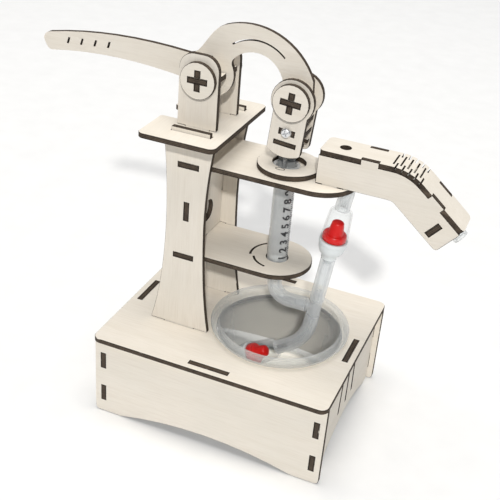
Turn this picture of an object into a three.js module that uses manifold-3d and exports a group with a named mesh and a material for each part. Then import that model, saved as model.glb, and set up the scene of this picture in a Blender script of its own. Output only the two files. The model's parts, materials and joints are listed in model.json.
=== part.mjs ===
// Hand water pump kit: laser-cut plywood frame, syringe pump, hoses and two check valves.
// Units are millimetres, +Z is up and +Y points to the back. X runs from handle to spout.
import * as THREE from 'three';
import { mergeVertices } from 'three/addons/utils/BufferGeometryUtils.js';
import Module from 'manifold-3d';

const wasm = await Module();
wasm.setup();

// ---------------------------------------------------------------- driving dimensions
const PLY = 3; // sheet thickness of every wooden piece
const FIT = 0.15; // clearance on each side of a tab in its slot
const GAP = 0.2; // clearance between pieces that lie flat on each other

const BASE = { width: 150, depth: 125, height: 58, corner: 5, panelY: 56.8, panelX: 69.5 };
const BASE_TAB = 25;
const CORNER_TABS = [14.5, 39.5]; // heights of the finger joints at the box corners
const CORNER_TAB = 11;
const WALL_SLITS = [[-12, -15], [-0.2, -0.2], [10.3, 12.4]]; // y at the top and at the bottom
const WALL_SLIT = { bottom: 19.5, top: 52, width: 2.4 };

const BOWL = { x: 22.6, hole: 39.2, floor: 16, rim: 64 };

const COLUMN = { x: -34.9, plateY: 24, footHalf: 10 };
const COLUMN_SIDES = { foot: [-54.3, -15.6], waist: [-46, -21.8], head: [-49.1, -17.4] };
const COLUMN_TAB = { x: -32.6, width: 23.8, rise: 2.4 }; // top tabs, which stand above the cap
const CAP = { left: -59.5, right: -12.5, halfDepth: 39, top: 186.5, corner: 4 };
const CAP_NOTCH = { right: -47, half: 9 };
const SHELF_HALF = 22.3;
const LOWER_SHELF = { top: 109, left: -46, endX: 15, tabX: -34.1 };
const UPPER_SHELF = { top: 168.3, left: -46, endX: 36.4, tabX: -33.2 };
const SHELF_TAB = 12.6;
const WEB_X = -33.2;
const WEB_TAB = { z: 137.8, height: 11.8 };
const WEB_OPENING = { z: 126.5, half: 9.4, radius: 6.7 };
const SPOUT_TAB = { x: 45.5, width: 9, slotX: 45.35, slotWidth: 15.5 };

const PIVOT_A = { x: -33.2, z: 215 };
const PIVOT_B = { x: 18.8, z: 211 };
const POST = { y: 14.5, left: -12.5, right: 11.5, top: 229.2, corner: 9, tab: 15 };
const DISC_R = 10.5;
const CROSS = 11.4; // width of the crossed axle strips in their slots
const AXLE_HOLE_R = 6.6;
const LINK = { y: 7.5, headR: 12.5, half: 10, tilt: 5 };
const YOKE_UPPER = -18.1;
const YOKE_LOWER = -25.1;

const SYRINGE = { x: 16.2, outerR: 6.2, innerR: 5.65, flangeR: 7.8, bottom: 105.5 };
const RING = { x: 17.8, outerR: 18.5, holeR: 9.6, holeX: -0.4, holeY: 1 };
const PISTON_BOTTOM = 114.5;
const THUMB_Z = 188.7;

const HOSE = { outerR: 4.4, boreR: 2.9 };
const HOSE_HOLE = { x: 53.6, r: 4.9 }; // where the hose passes the upper shelf
const TEE = { x: 43.4, z: 82, lean: 7 };
const HOSE_START = 5.5; // distance from the middle of the tee to each hose end
const VALVE_START = 36; // distance from the middle of the tee to the outlet valve
const VALVE_LENGTH = 33; // base end to shoulder of a check valve

const SPOUT = { left: 37.2, height: 17, half: 10.4, elbowX: 81.3, slope: 40, reach: 36, bend: 25 };
const SPOUT_HOLDER = 25.85;
const OUTLET_END = 40;

// ---------------------------------------------------------------- materials
function finish(color, roughness, extra = {}) {
  return () => new THREE.MeshStandardMaterial({ color, roughness, metalness: 0, ...extra });
}

const wood = finish('#ddd2bd', 0.75);
const clearPlastic = finish('#c9ced0', 0.25, { transparent: true, opacity: 0.55 });
const hosePlastic = finish('#c3c6c9', 0.35, { transparent: true, opacity: 0.7 });
const whitePlastic = finish('#e9eeef', 0.4);
const redPlastic = finish('#df2a22', 0.35);
const steel = finish('#b9bcc0', 0.3, { metalness: 1 });

// ---------------------------------------------------------------- placing and joining helpers
const FRONT = new THREE.Euler(Math.PI / 2, 0, 0); // a shape drawn in x and z
const SIDE = new THREE.Euler(Math.PI / 2, Math.PI / 2, 0); // a shape drawn in y and z
const FLAT = new THREE.Euler(0, 0, 0); // a shape drawn in x and y

const radians = THREE.MathUtils.degToRad;

function addMesh(parent, name, geometry, material, position = [0, 0, 0], rotation = FLAT) {
  const mesh = new THREE.Mesh(geometry, material());
  mesh.name = name;
  mesh.position.set(...position);
  mesh.rotation.copy(rotation);
  parent.add(mesh);
  return mesh;
}

// A sheet of the given thickness, centred on the plane of its shape, with the holes cut out.
function sheet(shape, thickness = PLY, curveSegments = 4) {
  const { holes } = shape;
  const slab = (outline, depth) => new THREE.ExtrudeGeometry(outline, {
    depth,
    bevelEnabled: false,
    curveSegments,
  }).translate(0, 0, -depth / 2);
  const outline = new THREE.Shape(shape.getPoints(curveSegments));
  const tools = holes.map((hole) => slab(new THREE.Shape(hole.getPoints(curveSegments)), thickness + 2));
  return tools.length ? cut(slab(outline, thickness), tools) : slab(outline, thickness);
}

function addPlate(parent, name, shape, position, facing, { thickness = PLY, detail = 4 } = {}) {
  return addMesh(parent, name, sheet(shape, thickness, detail), wood, position, facing);
}

function toSolid(geometry) {
  const bare = geometry.index ? geometry.toNonIndexed() : geometry.clone();
  bare.deleteAttribute('normal');
  bare.deleteAttribute('uv');
  const merged = mergeVertices(bare, 1e-4);
  const mesh = new wasm.Mesh({
    numProp: 3,
    vertProperties: Float32Array.from(merged.attributes.position.array),
    triVerts: Uint32Array.from(merged.index.array),
  });
  mesh.merge();
  return new wasm.Manifold(mesh);
}

function toGeometry(solid) {
  const mesh = solid.getMesh();
  const geometry = new THREE.BufferGeometry();
  geometry.setAttribute('position', new THREE.BufferAttribute(mesh.vertProperties, 3));
  geometry.setIndex(new THREE.BufferAttribute(mesh.triVerts, 1));
  geometry.computeVertexNormals();
  return geometry;
}

function cut(body, tools) {
  const solid = tools.reduce((left, tool) => left.subtract(toSolid(tool)), toSolid(body));
  return toGeometry(solid);
}

function join(bodies) {
  return toGeometry(bodies.map(toSolid).reduce((sum, body) => sum.add(body)));
}

// A body of revolution about +Z. The profile is a closed list of [radius, height].
function turned(profile, segments = 20) {
  const points = profile.map(([radius, height]) => new THREE.Vector2(radius, height));
  if (THREE.ShapeUtils.area(points) < 0) {
    points.reverse();
  }
  const closed = points[0].x > 0 || points[points.length - 1].x > 0;
  if (closed) {
    points.push(points[0].clone());
  }
  return new THREE.LatheGeometry(points, segments).rotateX(Math.PI / 2);
}

function rod(radius, length, segments = 16) {
  return new THREE.CylinderGeometry(radius, radius, length, segments).rotateX(Math.PI / 2);
}

// ---------------------------------------------------------------- outline helpers
function roundedRect(path, left, bottom, right, top, radius) {
  path.moveTo(left + radius, bottom);
  path.lineTo(right - radius, bottom);
  path.absarc(right - radius, bottom + radius, radius, -Math.PI / 2, 0);
  path.absarc(right - radius, top - radius, radius, 0, Math.PI / 2);
  path.absarc(left + radius, top - radius, radius, Math.PI / 2, Math.PI);
  path.absarc(left + radius, bottom + radius, radius, Math.PI, 1.5 * Math.PI);
  return path;
}

function polygon(path, points) {
  path.moveTo(...points[0]);
  points.slice(1).forEach((point) => path.lineTo(...point));
  path.closePath();
  return path;
}

// A rectangular slot for a tab of the given width and height.
function slot(shape, x, y, width, height, fit = FIT) {
  const w = width / 2 + fit;
  const h = height / 2 + fit;
  const corners = [[x - w, y - h], [x - w, y + h], [x + w, y + h], [x + w, y - h]];
  shape.holes.push(polygon(new THREE.Path(), corners));
}

// A slanted slot between two points, as wide as given across the x direction.
function slantedSlot(shape, [x0, y0], [x1, y1], width) {
  const w = width / 2;
  shape.holes.push(polygon(new THREE.Path(), [[x0 - w, y0], [x1 - w, y1], [x1 + w, y1], [x0 + w, y0]]));
}

// A full circle made of a few arcs, so that each arc keeps its own share of the sides.
function circle(path, x, y, radius, arcs, clockwise = false) {
  const turn = ((clockwise ? -2 : 2) * Math.PI) / arcs;
  for (let i = 0; i < arcs; i += 1) {
    path.absarc(x, y, radius, i * turn, (i + 1) * turn, clockwise);
  }
  return path;
}

function roundHole(shape, x, y, radius, arcs = 3) {
  shape.holes.push(circle(new THREE.Path(), x, y, radius, arcs, true));
}

function crossHole(shape, x, y) {
  const a = CROSS / 2 + FIT;
  const b = PLY / 2 + FIT;
  const corners = [
    [a, b], [a, -b], [b, -b], [b, -a], [-b, -a], [-b, -b],
    [-a, -b], [-a, b], [-b, b], [-b, a], [b, a], [b, b],
  ];
  shape.holes.push(polygon(new THREE.Path(), corners.map(([u, v]) => [x + u, y + v])));
}

// A thin cut along an arc, from angle a to angle b in degrees.
function arcSlit(shape, x, y, radius, a, b, width = 0.9) {
  const slit = new THREE.Path();
  slit.absarc(x, y, radius + width / 2, radians(a), radians(b), false);
  slit.absarc(x, y, radius - width / 2, radians(b), radians(a), true);
  slit.closePath();
  shape.holes.push(slit);
}

// ---------------------------------------------------------------- base box
function baseTop() {
  const { width, depth, corner, panelX, panelY } = BASE;
  const shape = roundedRect(new THREE.Shape(), -width / 2, -depth / 2, width / 2, depth / 2, corner);
  roundHole(shape, BOWL.x, 0, BOWL.hole, 8);
  for (const side of [-1, 1]) {
    slot(shape, 0, side * panelY, BASE_TAB, PLY);
    slot(shape, side * panelX, 0, PLY, BASE_TAB);
    slot(shape, COLUMN.x, side * COLUMN.plateY, 2 * COLUMN.footHalf, PLY);
  }
  return shape;
}

// A box wall with an arched lower edge and one tab for the base top.
function wallOutline(half, archHalf, archRise, sideTabs) {
  const top = BASE.height - PLY - GAP / 2;
  const shape = new THREE.Shape();
  shape.moveTo(-half + 3, 0);
  shape.lineTo(-archHalf, 0);
  shape.quadraticCurveTo(0, 2 * archRise, archHalf, 0);
  shape.lineTo(half - 3, 0);
  shape.quadraticCurveTo(half, 0, half, 3);
  for (const z of sideTabs ? CORNER_TABS : []) {
    shape.lineTo(half, z - CORNER_TAB / 2);
    shape.lineTo(half + sideTabs, z - CORNER_TAB / 2);
    shape.lineTo(half + sideTabs, z + CORNER_TAB / 2);
    shape.lineTo(half, z + CORNER_TAB / 2);
  }
  shape.lineTo(half, top);
  shape.lineTo(BASE_TAB / 2, top);
  shape.lineTo(BASE_TAB / 2, BASE.height);
  shape.lineTo(-BASE_TAB / 2, BASE.height);
  shape.lineTo(-BASE_TAB / 2, top);
  shape.lineTo(-half, top);
  for (const z of sideTabs ? [...CORNER_TABS].reverse() : []) {
    shape.lineTo(-half, z + CORNER_TAB / 2);
    shape.lineTo(-half - sideTabs, z + CORNER_TAB / 2);
    shape.lineTo(-half - sideTabs, z - CORNER_TAB / 2);
    shape.lineTo(-half, z - CORNER_TAB / 2);
  }
  shape.lineTo(-half, 3);
  shape.quadraticCurveTo(-half, 0, -half + 3, 0);
  return shape;
}

function longWall() {
  const shape = wallOutline(BASE.width / 2, 57.5, 7.3, 0);
  for (const side of [-1, 1]) {
    CORNER_TABS.forEach((z) => slot(shape, side * BASE.panelX, z, PLY, CORNER_TAB));
  }
  return shape;
}

function shortWall(slits) {
  const shape = wallOutline(BASE.panelY - PLY / 2 - GAP, 46, 11, PLY + GAP);
  const { bottom, top, width } = WALL_SLIT;
  slits.forEach(([high, low]) => slantedSlot(shape, [low, bottom], [high, top], width));
  return shape;
}

function addBase(parent) {
  const { height, panelX, panelY } = BASE;
  addPlate(parent, 'base_top', baseTop(), [0, 0, height - PLY / 2], FLAT);
  addPlate(parent, 'base_front_wall', longWall(), [0, -panelY, 0], FRONT, { detail: 8 });
  addPlate(parent, 'base_back_wall', longWall(), [0, panelY, 0], FRONT, { detail: 8 });
  addPlate(parent, 'base_left_wall', shortWall([]), [-panelX, 0, 0], SIDE, { detail: 8 });
  addPlate(parent, 'base_right_wall', shortWall(WALL_SLITS), [panelX, 0, 0], SIDE, { detail: 8 });
}

function addBowl(parent) {
  const { floor, rim } = BOWL;
  const profile = [
    [0, floor], [31.6, floor], [32.8, floor + 1], [38.3, 55.5], [38.4, BASE.height + GAP],
    [40.4, BASE.height + GAP], [43, 61.6], [43.2, 62.3], [43.2, rim - 0.4], [42.8, rim],
    [37.9, rim], [37.5, rim - 0.4], [37.5, 56.5], [32, floor + 2], [31.2, floor + 1.2], [0, floor + 1.2],
  ];
  addMesh(parent, 'bowl', turned(profile, 36), clearPlastic, [BOWL.x, 0, 0]);
}

// ---------------------------------------------------------------- column, shelves and cap
function columnPlate() {
  const { x, footHalf } = COLUMN;
  const [footLeft, footRight] = COLUMN_SIDES.foot;
  const [waistLeft, waistRight] = COLUMN_SIDES.waist;
  const [headLeft, headRight] = COLUMN_SIDES.head;
  const base = BASE.height + GAP;
  const top = CAP.top - PLY - GAP;
  const tabTop = CAP.top + COLUMN_TAB.rise;
  const tabLeft = COLUMN_TAB.x - COLUMN_TAB.width / 2;
  const tabRight = COLUMN_TAB.x + COLUMN_TAB.width / 2;
  const shape = new THREE.Shape();
  shape.moveTo(x - footHalf, BASE.height - PLY);
  shape.lineTo(x + footHalf, BASE.height - PLY);
  shape.lineTo(x + footHalf, base);
  shape.lineTo(footRight, base);
  shape.quadraticCurveTo(waistRight + 0.7, 85, waistRight, 130);
  shape.quadraticCurveTo(waistRight, 160, headRight, top);
  shape.lineTo(tabRight, top);
  shape.lineTo(tabRight, tabTop);
  shape.lineTo(tabLeft, tabTop);
  shape.lineTo(tabLeft, top);
  shape.lineTo(headLeft, top);
  shape.quadraticCurveTo(waistLeft, 160, waistLeft, 130);
  shape.quadraticCurveTo(waistLeft - 0.7, 85, footLeft, base);
  shape.lineTo(x - footHalf, base);
  shape.closePath();
  slot(shape, LOWER_SHELF.tabX, LOWER_SHELF.top - PLY / 2, SHELF_TAB, PLY);
  slot(shape, UPPER_SHELF.tabX, UPPER_SHELF.top - PLY / 2, SHELF_TAB, PLY);
  slot(shape, WEB_X, WEB_TAB.z, PLY, WEB_TAB.height);
  return shape;
}

function columnWeb() {
  const bottom = LOWER_SHELF.top + GAP;
  const top = UPPER_SHELF.top - PLY - GAP;
  const low = WEB_TAB.z - WEB_TAB.height / 2;
  const high = WEB_TAB.z + WEB_TAB.height / 2;
  const reach = COLUMN.plateY + PLY / 2;
  const inner = SHELF_HALF;
  const shape = polygon(new THREE.Shape(), [
    [-inner, bottom], [inner, bottom], [inner, low], [reach, low], [reach, high], [inner, high],
    [inner, top], [-inner, top], [-inner, high], [-reach, high], [-reach, low], [-inner, low],
  ]);
  const { z, half, radius } = WEB_OPENING;
  const opening = new THREE.Path();
  opening.absarc(half - radius, z, radius, Math.PI / 2, -Math.PI / 2, true);
  opening.absarc(-half + radius, z, radius, 1.5 * Math.PI, Math.PI / 2, true);
  opening.closePath();
  shape.holes.push(opening);
  return shape;
}

function shelfOutline({ left, endX, tabX }) {
  const tabLeft = tabX - SHELF_TAB / 2;
  const tabRight = tabX + SHELF_TAB / 2;
  const reach = COLUMN.plateY + PLY / 2;
  const shape = new THREE.Shape();
  shape.moveTo(left, -SHELF_HALF);
  shape.lineTo(tabLeft, -SHELF_HALF);
  shape.lineTo(tabLeft, -reach);
  shape.lineTo(tabRight, -reach);
  shape.lineTo(tabRight, -SHELF_HALF);
  shape.lineTo(endX, -SHELF_HALF);
  shape.absarc(endX, 0, SHELF_HALF, -Math.PI / 2, Math.PI / 2);
  shape.lineTo(tabRight, SHELF_HALF);
  shape.lineTo(tabRight, reach);
  shape.lineTo(tabLeft, reach);
  shape.lineTo(tabLeft, SHELF_HALF);
  shape.lineTo(left, SHELF_HALF);
  shape.closePath();
  roundHole(shape, SYRINGE.x, 0, SYRINGE.outerR + 0.4);
  return shape;
}

function lowerShelf() {
  const shape = shelfOutline(LOWER_SHELF);
  arcSlit(shape, SYRINGE.x, 0, 16.3, 134, 197);
  arcSlit(shape, SYRINGE.x, 0, 14.2, 206, 258);
  return shape;
}

function upperShelf() {
  const shape = shelfOutline(UPPER_SHELF);
  roundHole(shape, HOSE_HOLE.x, 0, HOSE_HOLE.r);
  for (const side of [-1, 1]) {
    slot(shape, SPOUT_TAB.slotX, side * (SPOUT.half - PLY / 2), SPOUT_TAB.slotWidth, PLY);
  }
  return shape;
}

function capOutline() {
  const { left, right, halfDepth, corner } = CAP;
  const { right: notchEnd, half } = CAP_NOTCH;
  const shape = new THREE.Shape();
  shape.moveTo(left + corner, -halfDepth);
  shape.lineTo(right - corner, -halfDepth);
  shape.absarc(right - corner, -halfDepth + corner, corner, -Math.PI / 2, 0);
  shape.absarc(right - corner, halfDepth - corner, corner, 0, Math.PI / 2);
  shape.absarc(left + corner, halfDepth - corner, corner, Math.PI / 2, Math.PI);
  shape.lineTo(left, half + 2);
  shape.quadraticCurveTo(left, half, left + 2, half);
  shape.lineTo(notchEnd, half);
  shape.lineTo(notchEnd, -half);
  shape.lineTo(left + 2, -half);
  shape.quadraticCurveTo(left, -half, left, -half - 2);
  shape.absarc(left + corner, -halfDepth + corner, corner, Math.PI, 1.5 * Math.PI);
  for (const side of [-1, 1]) {
    slot(shape, COLUMN_TAB.x, side * COLUMN.plateY, COLUMN_TAB.width, PLY);
    slot(shape, PIVOT_A.x, side * POST.y, POST.tab, PLY);
  }
  return shape;
}

function addColumn(parent) {
  const { plateY } = COLUMN;
  addPlate(parent, 'column_front_plate', columnPlate(), [0, -plateY, 0], FRONT, { detail: 7 });
  addPlate(parent, 'column_rear_plate', columnPlate(), [0, plateY, 0], FRONT, { detail: 7 });
  addPlate(parent, 'column_web', columnWeb(), [WEB_X, 0, 0], SIDE);
  addPlate(parent, 'lower_shelf', lowerShelf(), [0, 0, LOWER_SHELF.top - PLY / 2], FLAT, { detail: 10 });
  addPlate(parent, 'upper_shelf', upperShelf(), [0, 0, UPPER_SHELF.top - PLY / 2], FLAT, { detail: 10 });
  addPlate(parent, 'cap_plate', capOutline(), [0, 0, CAP.top - PLY / 2], FLAT);
}

// ---------------------------------------------------------------- pivots
function disc() {
  const shape = new THREE.Shape();
  circle(shape, 0, 0, DISC_R, 3);
  crossHole(shape, 0, 0);
  return shape;
}

// One of the two strips that cross to make an axle. It is drawn across and along the axle.
// Its slot opens at the end that notchSide gives, and shoulders keep the side plates apart.
function axleStrip(reach, notchSide, shoulder) {
  const half = CROSS / 2;
  const notch = PLY / 2 + FIT;
  const right = [[half, -reach]];
  if (shoulder) {
    const { width, from, to } = shoulder;
    right.push([half, -to], [width, -to], [width, -from], [half, -from]);
    right.push([half, from], [width, from], [width, to], [half, to]);
  }
  right.push([half, reach], [notch, reach], [notch, -GAP], [-notch, -GAP], [-notch, reach]);
  const left = right.slice(0, -4).reverse().map(([u, v]) => [-u, v]);
  const outline = [...right, ...left];
  return polygon(new THREE.Shape(), outline.map(([u, v]) => [u * notchSide, v * notchSide]));
}

function addAxle(parent, prefix, reach, shoulder) {
  const upright = new THREE.Euler(0, -Math.PI / 2, 0);
  addPlate(parent, `${prefix}_flat_strip`, axleStrip(reach, 1, shoulder), [0, 0, 0], FLAT);
  addPlate(parent, `${prefix}_upright_strip`, axleStrip(reach, -1, shoulder), [0, 0, 0], upright);
  for (const [end, side] of [['front', -1], ['rear', 1]]) {
    addPlate(parent, `${prefix}_disc_${end}`, disc(), [0, side * (reach - PLY / 2), 0], FRONT);
  }
}

function postPlate() {
  const { left, right, top, corner, tab } = POST;
  const foot = CAP.top + GAP - PIVOT_A.z;
  const tabEnd = CAP.top - PLY - PIVOT_A.z;
  const crown = top - PIVOT_A.z;
  const shape = new THREE.Shape();
  shape.moveTo(-tab / 2, tabEnd);
  shape.lineTo(tab / 2, tabEnd);
  shape.lineTo(tab / 2, foot);
  shape.lineTo(right, foot);
  shape.lineTo(right, crown - corner);
  shape.absarc(right - corner, crown - corner, corner, 0, Math.PI / 2);
  shape.absarc(left + corner, crown - corner, corner, Math.PI / 2, Math.PI);
  shape.lineTo(left, foot);
  shape.lineTo(-tab / 2, foot);
  shape.closePath();
  crossHole(shape, 0, 0);
  return shape;
}

function addPosts(parent) {
  const pivot = new THREE.Group();
  pivot.position.set(PIVOT_A.x, 0, PIVOT_A.z);
  parent.add(pivot);
  addPlate(pivot, 'post_front', postPlate(), [0, -POST.y, 0], FRONT);
  addPlate(pivot, 'post_rear', postPlate(), [0, POST.y, 0], FRONT);
  const reach = POST.y + PLY * 1.5 + GAP;
  addAxle(pivot, 'axle_a', reach, { width: 10, from: 2.5, to: POST.y - PLY / 2 - GAP });
}

// ---------------------------------------------------------------- lever
const LEVER_ARCH = { x: 26.2, z: -1, innerR: 17.2 };

function leverOutline() {
  const end = { x: PIVOT_B.x - PIVOT_A.x, z: PIVOT_B.z - PIVOT_A.z, r: 8.8 };
  const crown = { x: 22.3, z: -10.2, r: 41.3 };
  const toward = Math.atan2(end.z - LEVER_ARCH.z, end.x - LEVER_ARCH.x);
  const shape = new THREE.Shape();
  shape.moveTo(-13.5, 8.6);
  shape.quadraticCurveTo(-62, 13, -105, 3.7);
  shape.quadraticCurveTo(-108.6, 2.6, -108.9, -0.6);
  shape.quadraticCurveTo(-108.2, -3.6, -106.3, -6);
  shape.quadraticCurveTo(-104.8, -7.4, -102.8, -6.9);
  shape.quadraticCurveTo(-60, 0.4, -12.1, -7);
  shape.absarc(0, 0, 14, radians(210), radians(382), false);
  shape.quadraticCurveTo(11.6, 7.5, 12.8, 9.8);
  shape.absarc(LEVER_ARCH.x, LEVER_ARCH.z, LEVER_ARCH.innerR, radians(141), toward, true);
  shape.absarc(end.x, end.z, end.r, toward + Math.PI, radians(372), false);
  shape.absarc(crown.x, crown.z, crown.r, radians(24), radians(112), false);
  shape.bezierCurveTo(-2.5, 24.3, -5.5, 8.8, -13.5, 8.6);
  roundHole(shape, 0, 0, AXLE_HOLE_R, 2);
  roundHole(shape, end.x, end.z, AXLE_HOLE_R, 2);
  arcSlit(shape, LEVER_ARCH.x, LEVER_ARCH.z, 24, 46, 126);
  for (let i = 0; i < 4; i += 1) {
    const middle = -92 + 9 * i;
    const height = 0.8 + 0.75 * i;
    slantedSlot(shape, [middle - 0.6, height - 1.9], [middle + 0.6, height + 1.9], 1.4);
  }
  return shape;
}

function addLever(parent) {
  addPlate(parent, 'lever', leverOutline(), [PIVOT_A.x, 0, PIVOT_A.z], FRONT, { detail: 8 });
}

// ---------------------------------------------------------------- swinging link
function linkPlate() {
  const { headR, half } = LINK;
  const neck = Math.asin(half / headR);
  const shape = new THREE.Shape();
  shape.moveTo(-half, -28.5);
  shape.quadraticCurveTo(-half, -30.6, -half + 2, -31.3);
  shape.quadraticCurveTo(0, -35, half - 2, -31.3);
  shape.quadraticCurveTo(half, -30.6, half, -28.5);
  shape.lineTo(half, -headR * Math.cos(neck) - 0.5);
  shape.absarc(0, 0, headR, -Math.PI / 2 + neck, 1.5 * Math.PI - neck, false);
  shape.closePath();
  crossHole(shape, 0, 0);
  slot(shape, 0, YOKE_UPPER, 9, PLY);
  slot(shape, 0, YOKE_LOWER, 12.6, 2.2);
  return shape;
}

// Horizontal plate that the screws pull the two links against. Each end has two tabs
// and a slot for the screw, with a wider pocket for its nut.
function yokeUpperPlate() {
  const inner = LINK.y - PLY / 2 - GAP;
  const outer = LINK.y + PLY / 2;
  const quarter = [
    [9.5, 0], [9.5, inner], [4.4, inner], [4.4, outer], [1.7, outer], [1.7, 5.1],
    [2.6, 5.1], [2.6, 2.5], [1.7, 2.5], [1.7, 1.2],
  ];
  const right = quarter.slice(1);
  const top = [...right, ...right.slice().reverse().map(([u, v]) => [-u, v])];
  const bottom = top.slice().reverse().map(([u, v]) => [u, -v]);
  return polygon(new THREE.Shape(), [...top, ...bottom]);
}

// Horizontal plate that lifts the thumb rest. Its mouth opens to the right.
function yokeLowerPlate() {
  const inner = LINK.y - PLY / 2 - GAP;
  const outer = LINK.y + PLY / 2;
  const mouth = 2.8;
  const shape = new THREE.Shape();
  shape.moveTo(9.5, inner);
  shape.lineTo(6.3, inner);
  shape.lineTo(6.3, outer);
  shape.lineTo(-6.3, outer);
  shape.lineTo(-6.3, inner);
  shape.lineTo(-9.5, inner);
  shape.lineTo(-9.5, -inner);
  shape.lineTo(-6.3, -inner);
  shape.lineTo(-6.3, -outer);
  shape.lineTo(6.3, -outer);
  shape.lineTo(6.3, -inner);
  shape.lineTo(9.5, -inner);
  shape.lineTo(9.5, -mouth);
  shape.lineTo(-0.7, -mouth);
  shape.absarc(-0.7, 0, mouth, 1.5 * Math.PI, Math.PI / 2, true);
  shape.lineTo(9.5, mouth);
  shape.closePath();
  return shape;
}

function spacerPlate() {
  const inner = LINK.y - PLY / 2 - GAP;
  const half = 9.3;
  return polygon(new THREE.Shape(), [[-half, -inner], [half, -inner], [half, inner], [-half, inner]]);
}

function screw() {
  return turned([[0, -7.4], [1.4, -7.4], [1.4, GAP], [3.05, GAP], [3.05, 0.9], [2.3, 1.7], [0, 2.1]], 12);
}

function nut() {
  const shape = new THREE.Shape();
  const corner = (radius) => (_, i) => {
    const angle = radians(30 + 60 * i);
    return [radius * Math.cos(angle), radius * Math.sin(angle)];
  };
  polygon(shape, Array.from({ length: 6 }, corner(2.65)));
  shape.holes.push(polygon(new THREE.Path(), Array.from({ length: 6 }, corner(1.75)).reverse()));
  return sheet(shape, 2.2).translate(0, 0, 1.1);
}

function addLink(parent) {
  const link = new THREE.Group();
  link.position.set(PIVOT_B.x, 0, PIVOT_B.z);
  link.rotation.y = radians(LINK.tilt);
  parent.add(link);
  addPlate(link, 'link_front', linkPlate(), [0, -LINK.y, 0], FRONT, { detail: 10 });
  addPlate(link, 'link_rear', linkPlate(), [0, LINK.y, 0], FRONT, { detail: 10 });
  addPlate(link, 'link_spacer', spacerPlate(), [0, 0, -10.8], FLAT);
  addPlate(link, 'yoke_upper_plate', yokeUpperPlate(), [0, 0, YOKE_UPPER], FLAT);
  addPlate(link, 'yoke_lower_plate', yokeLowerPlate(), [0, 0, YOKE_LOWER], FLAT, { thickness: 2.2 });
  addAxle(link, 'axle_b', LINK.y + PLY * 1.5 + GAP, null);
  for (const [end, side] of [['front', -1], ['rear', 1]]) {
    const turn = new THREE.Euler((-side * Math.PI) / 2, 0, 0);
    const face = side * (LINK.y + PLY / 2);
    addMesh(link, `screw_${end}`, screw(), steel, [0, face, YOKE_UPPER], turn);
    addMesh(link, `nut_${end}`, nut(), steel, [0, side * 2.7, YOKE_UPPER], turn);
  }
}

// ---------------------------------------------------------------- syringe
function addSyringe(parent) {
  const { x, outerR, innerR, flangeR, bottom } = SYRINGE;
  const seat = UPPER_SHELF.top + GAP;
  const ring = new THREE.Shape();
  circle(ring, 0, 0, RING.outerR, 4);
  roundHole(ring, RING.holeX, RING.holeY, RING.holeR, 5);
  addPlate(parent, 'syringe_ring', ring, [RING.x, 0, seat + PLY / 2], FLAT, { detail: 5 });
  const barrel = [
    [1.1, bottom - 10], [1.9, bottom - 10], [2.3, bottom], [5.5, bottom], [outerR, bottom + 0.8],
    [outerR, seat], [flangeR, seat], [flangeR, seat + 1.8], [innerR + 0.3, seat + 1.8], [innerR, seat + 1.4],
    [innerR, bottom + 2.2], [1.1, bottom + 1.4],
  ];
  addMesh(parent, 'syringe_barrel', turned(barrel, 24), clearPlastic, [x, 0, 0]);
}

function addPlunger(parent) {
  const { x, innerR } = SYRINGE;
  const ribsBottom = PISTON_BOTTOM + 6 + GAP;
  const ribsTop = 181.5;
  const ribs = new THREE.Shape();
  polygon(ribs, [
    [0.7, 0.7], [0.7, 5], [-0.7, 5], [-0.7, 0.7], [-5, 0.7], [-5, -0.7],
    [-0.7, -0.7], [-0.7, -5], [0.7, -5], [0.7, -0.7], [5, -0.7], [5, 0.7],
  ]);
  const blade = sheet(ribs, ribsTop - ribsBottom).translate(0, 0, (ribsTop + ribsBottom) / 2);
  const stem = turned([
    [0, 179], [2.2, 179], [2.2, THUMB_Z - 0.75], [5.4, THUMB_Z - 0.75],
    [5.6, THUMB_Z], [5.4, THUMB_Z + 0.75], [0, THUMB_Z + 0.75],
  ], 18);
  const foot = turned([[0, ribsBottom], [5.1, ribsBottom], [5.1, ribsBottom + 1], [0, ribsBottom + 1]], 18);
  addMesh(parent, 'plunger_rod', join([blade, stem, foot]), clearPlastic, [x, 0, 0]);
  const r = innerR - 0.15;
  const piston = [
    [0, PISTON_BOTTOM - 0.8], [3, PISTON_BOTTOM - 0.5], [r, PISTON_BOTTOM], [r, PISTON_BOTTOM + 1],
    [r - 0.5, PISTON_BOTTOM + 1.6], [r - 0.5, PISTON_BOTTOM + 4.2], [r, PISTON_BOTTOM + 4.8],
    [r, PISTON_BOTTOM + 6], [0, PISTON_BOTTOM + 6],
  ];
  addMesh(parent, 'plunger_piston', turned(piston, 20), clearPlastic, [x, 0, 0]);
}

// ---------------------------------------------------------------- hoses, tee and check valves
const lean = radians(TEE.lean);
const teeAxis = new THREE.Vector3(Math.sin(lean), 0, Math.cos(lean));
const teeCentre = new THREE.Vector3(TEE.x, 0, TEE.z);

function onTeeAxis(distance) {
  return teeCentre.clone().addScaledVector(teeAxis, distance);
}

function at(x, z) {
  return new THREE.Vector3(x, 0, z);
}

// Points of a flat arc in the XZ plane, with angles in degrees.
function arcPoints(x, z, radius, from, to, count) {
  return Array.from({ length: count }, (_, i) => {
    const angle = radians(from + ((to - from) * i) / (count - 1));
    return at(x + radius * Math.cos(angle), z + radius * Math.sin(angle));
  });
}

// Corners of a regular polygon that stays outside the circle of the given radius.
function around(radius, sides) {
  const reach = radius / Math.cos(Math.PI / sides);
  return Array.from({ length: sides }, (_, i) => {
    const angle = (2 * Math.PI * i) / sides;
    return [reach * Math.cos(angle), reach * Math.sin(angle)];
  });
}

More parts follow.
